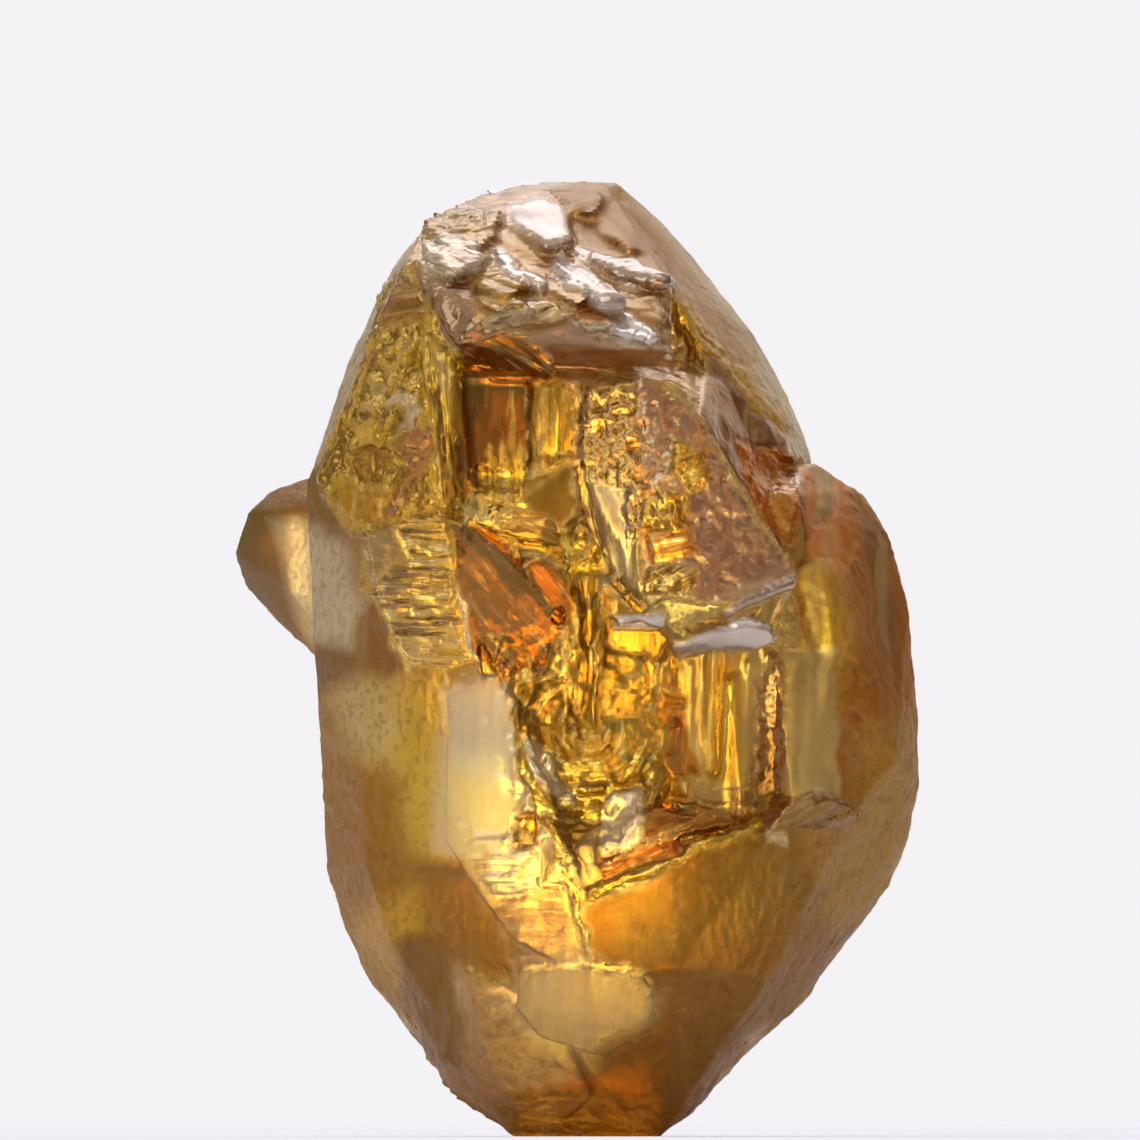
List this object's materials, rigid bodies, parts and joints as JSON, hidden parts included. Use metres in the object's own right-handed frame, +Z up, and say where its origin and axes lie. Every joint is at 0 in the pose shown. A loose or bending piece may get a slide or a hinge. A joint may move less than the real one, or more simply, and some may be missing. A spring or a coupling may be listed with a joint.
{
  "type": "rough diamond",
  "caption": "Natural uncut crystal with a scaly overhanging cap, a ledge, ribs, stepped faces and a side knob, standing on a small flat face.",
  "frame": {"origin": "on the small flat face that the crystal rests on, near the middle of that face", "axes": "+Z up along the crystal's long axis, -Y towards the front with the window and the pitted face, +X to the right seen from the front"},
  "size_m": [0.0087, 0.0071, 0.0121],
  "materials": {
    "diamond": "gloss"
  },
  "bodies": {
    "root": {"rough_diamond": "diamond"}
  },
  "joints": []
}
